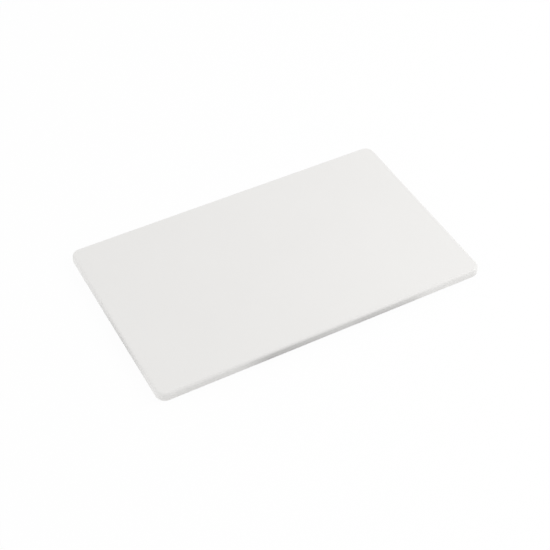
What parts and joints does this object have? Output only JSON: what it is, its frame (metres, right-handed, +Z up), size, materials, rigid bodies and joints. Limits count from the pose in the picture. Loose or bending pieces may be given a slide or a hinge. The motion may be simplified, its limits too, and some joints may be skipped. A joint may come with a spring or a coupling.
{
  "type": "cutting board",
  "caption": "Flat one-piece white polyethylene cutting board with rounded corners and rounded edges, reversible, for cutting food on a worktop.",
  "frame": {"origin": "middle of the face that the board lies on", "axes": "+X along the board's length, +Y across its width, +Z up through its thickness"},
  "size_m": [0.53, 0.325, 0.015],
  "materials": {
    "white_polyethylene": "satin, natural white polyethylene with a fine pressed surface"
  },
  "bodies": {
    "root": {"board": "white_polyethylene"}
  },
  "joints": []
}
